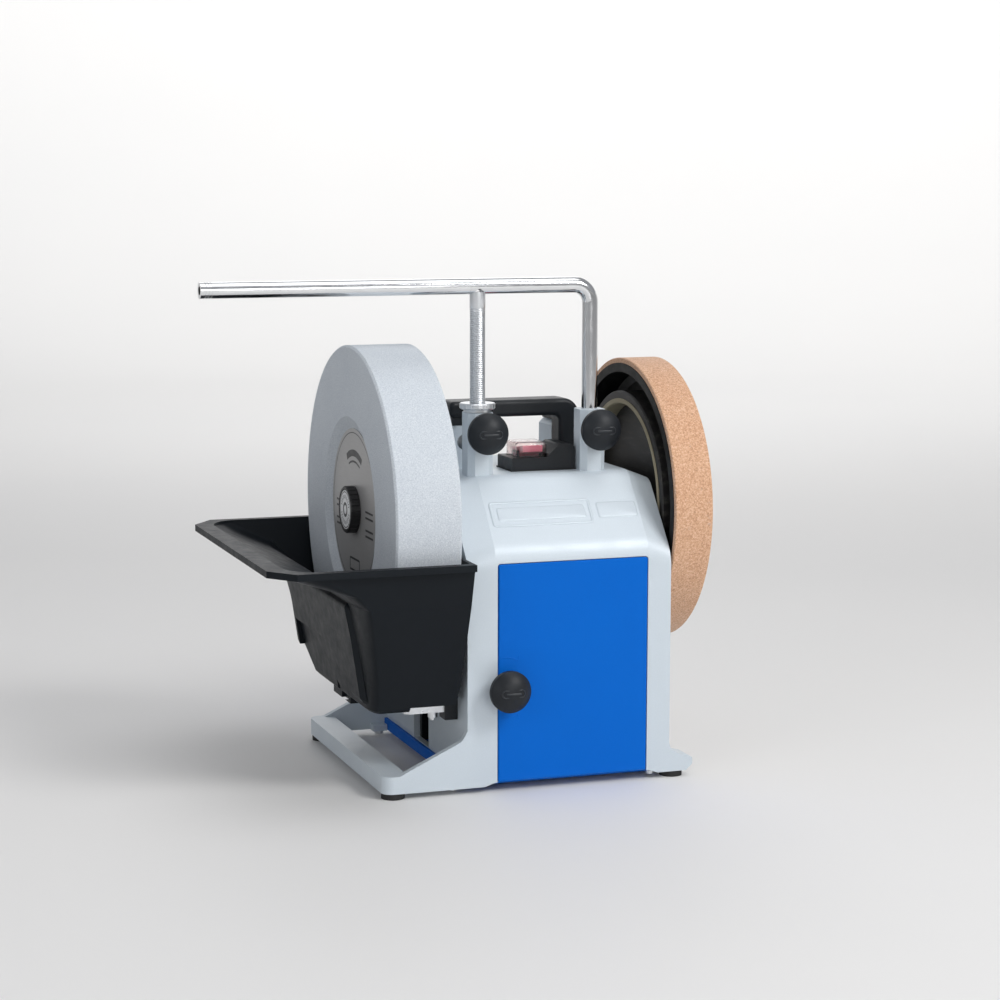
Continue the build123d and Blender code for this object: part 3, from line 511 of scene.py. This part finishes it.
def nut_print():
    low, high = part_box("stone_nut_disc")
    centre = (low + high) / 2

    def on_disc(u, v, h):
        return Vector((low.x - h, centre.y + u, centre.z + v))

    mesh = bmesh.new()
    thin = 0.05 * MM
    turns = [TAU * k / 60 for k in range(60)]
    for radius, half in ((13.6, 0.35), (4.6, 1.1)):
        line = [(radius * MM * math.sin(a), radius * MM * math.cos(a)) for a in turns]
        ridge(mesh, line, on_disc, half * MM, thin)
    gaps = (7, 8, 22, 23)
    for k in (k for k in range(30) if k not in gaps):
        a = TAU * k / 30
        ends = [(r * MM * math.sin(a), r * MM * math.cos(a)) for r in (8.6, 11.4)]
        ridge(mesh, ends, on_disc, 0.32 * MM, thin, closed=False)
    return piece("nut_print", mesh, "clamp_nut", PRINT_DARK)


nut_print()


# ---- clear boot over the rocker switch ----
def rocker_boot():
    low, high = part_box("rocker_boot")
    centre = (low + high) / 2
    width, depth = high.x - low.x, high.y - low.y
    wall, corner, steps = 0.7 * MM, 2.6 * MM, 8

    def shell(inset, top):
        rings = []
        for k in range(steps + 1):
            a = math.pi / 2 * k / steps
            z = low.z + 0.1 * MM if k == 0 else top - corner * (1 - math.sin(a))
            pull = inset + corner * (1 - math.cos(a))
            ring = rounded_box(width - 2 * pull, depth - 2 * pull, max(1.0 * MM, 4.2 * MM - pull))
            rings.append([Vector((centre.x + u, centre.y + v, z)) for u, v in ring])
        return rings

    mesh = bmesh.new()
    outer, inner = shell(0.05 * MM, high.z), shell(wall, high.z - wall)
    made = strip(mesh, outer, caps=False)
    hollow = strip(mesh, inner, caps=False)
    mesh.faces.new(made[-1])
    mesh.faces.new(hollow[-1])
    for i in range(len(made[0])):
        j = (i + 1) % len(made[0])
        mesh.faces.new((made[0][i], made[0][j], hollow[0][j], hollow[0][i]))
    return piece("boot_skin", mesh, "base", LOOKS["clear_boot"], ["rocker_boot"])


rocker_boot()


# ---- screw heads with sockets ----
def socket_radius(across):
    """Round outside the given radius, hexagonal inside it."""
    def radius_of(angle, radius):
        if radius > across:
            return radius
        part = (angle % (TAU / 6)) - TAU / 12
        return radius * math.cos(TAU / 12) / math.cos(part)
    return radius_of


def screw_heads(name, spots, direction, radius, height, body, replaced):
    """Domed heads with a hexagonal socket. Each spot is the middle of a head's seat."""
    turn = Vector(direction).to_track_quat("Z", "Y").to_matrix().to_4x4()
    mesh = bmesh.new()
    hole = radius * 0.48
    profile = [(radius * 0.2, -0.4 * MM), (radius * 0.98, -0.4 * MM), (radius, height * 0.25),
               (radius * 0.93, height * 0.7), (radius * 0.78, height * 0.95), (radius * 0.62, height),
               (hole * 1.08, height), (hole, height * 0.9), (hole * 0.99, height * 0.25),
               (hole * 0.3, height * 0.15)]
    for spot in spots:
        lathe(mesh, profile, Matrix.Translation(spot) @ turn, 36, socket_radius(hole * 1.01))
    return piece(name, mesh, body, LOOKS["zinc"], replaced)


def corner_spots(node, axis, at, inset):
    """Points near the corners of a node's box, in the plane across an axis."""
    low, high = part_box(node)
    others = [i for i in range(3) if i != axis]
    spots = []
    for a in (low[others[0]] + inset, high[others[0]] - inset):
        for b in (low[others[1]] + inset, high[others[1]] - inset):
            spot = Vector((0, 0, 0))
            spot[axis], spot[others[0]], spot[others[1]] = at, a, b
            spots.append(spot)
    return spots


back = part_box("rear_panel_screws")[1].y
screw_heads("panel_screw_heads", corner_spots("rear_panel_screws", 1, back - 2.0 * MM, 3.4 * MM), (0, 1, 0),
            3.4 * MM, 2.0 * MM, "base", ["rear_panel_screws"])


# ---- floor, light and camera ----
def studio():
    """Round floor that curves up into a backdrop."""
    flat, bend, around = 3.2, 2.0, 96
    mesh = bmesh.new()
    profile = [(0.02, 0.0)] + [(flat / 8 * k, 0.0) for k in range(1, 9)]
    profile += [(flat + bend * math.sin(a), bend - bend * math.cos(a))
                for a in (math.radians(9 * k) for k in range(1, 9))]
    turns = [TAU * k / around for k in range(around)]
    rings = [[mesh.verts.new((r * math.cos(a), r * math.sin(a), h)) for a in turns] for r, h in profile]
    mesh.faces.new(rings[0])
    for a, b in zip(rings, rings[1:]):
        for k in range(around):
            j = (k + 1) % around
            mesh.faces.new((a[k], a[j], b[j], b[k]))
    bmesh.ops.recalc_face_normals(mesh, faces=mesh.faces)
    data = bpy.data.meshes.new("studio_floor")
    mesh.to_mesh(data)
    mesh.free()
    for polygon in data.polygons:
        polygon.use_smooth = True
    data.materials.append(floor_look().material)
    floor = bpy.data.objects.new("studio_floor", data)
    scene.collection.objects.link(floor)


def soft_light(name, place, target, size, power, colour=(1, 1, 1)):
    data = bpy.data.lights.new(name, "AREA")
    data.shape = "RECTANGLE"
    data.size, data.size_y = size
    data.energy = power
    data.color = colour
    made = bpy.data.objects.new(name, data)
    made.location = place
    made.rotation_mode = "QUATERNION"
    made.rotation_quaternion = (Vector(target) - Vector(place)).to_track_quat("-Z", "Y")
    scene.collection.objects.link(made)


studio()
soft_light("key", (1.3, -1.7, 1.8), (0, 0, 0.2), (0.9, 0.9), 32)
soft_light("front", (0.1, -2.6, 0.8), (0, 0, 0.15), (1.4, 0.9), 11)
soft_light("fill", (-2.4, -1.4, 1.2), (0, 0, 0.2), (1.6, 1.6), 10, (0.95, 0.97, 1))
soft_light("top", (0.3, -0.2, 2.4), (0, 0, 0.1), (1.6, 1.6), 13)
soft_light("rear", (0.6, 2.3, 1.5), (0, 0, 0.2), (1.4, 1.0), 9)
soft_light("wash", (1.2, 2.6, 2.6), (2.4, 5.0, 0.6), (4.5, 1.2), 85)

world = bpy.data.worlds.new("studio_air")
world.use_nodes = True
world.node_tree.nodes["Background"].inputs["Color"].default_value = (0.93, 0.95, 1.0, 1)
world.node_tree.nodes["Background"].inputs["Strength"].default_value = 0.34
scene.world = world
scene.view_settings.view_transform = "Standard"

lens, sensor = 90.04, 36.0
camera_place = (-0.58105, -1.8197, 0.4717)
yaw, pitch, roll = 0.334, 0.1384, 0.002   # yaw from +Y towards +X, pitch downwards
camera_data = bpy.data.cameras.new("camera")
camera_data.lens = lens
camera_data.sensor_width = sensor
camera = bpy.data.objects.new("camera", camera_data)
ahead = Vector((math.sin(yaw) * math.cos(pitch), math.cos(yaw) * math.cos(pitch), -math.sin(pitch)))
camera.location = camera_place
camera.rotation_mode = "QUATERNION"
camera.rotation_quaternion = ahead.to_track_quat("-Z", "Y") @ Euler((0, 0, roll)).to_quaternion()
scene.collection.objects.link(camera)
scene.camera = camera
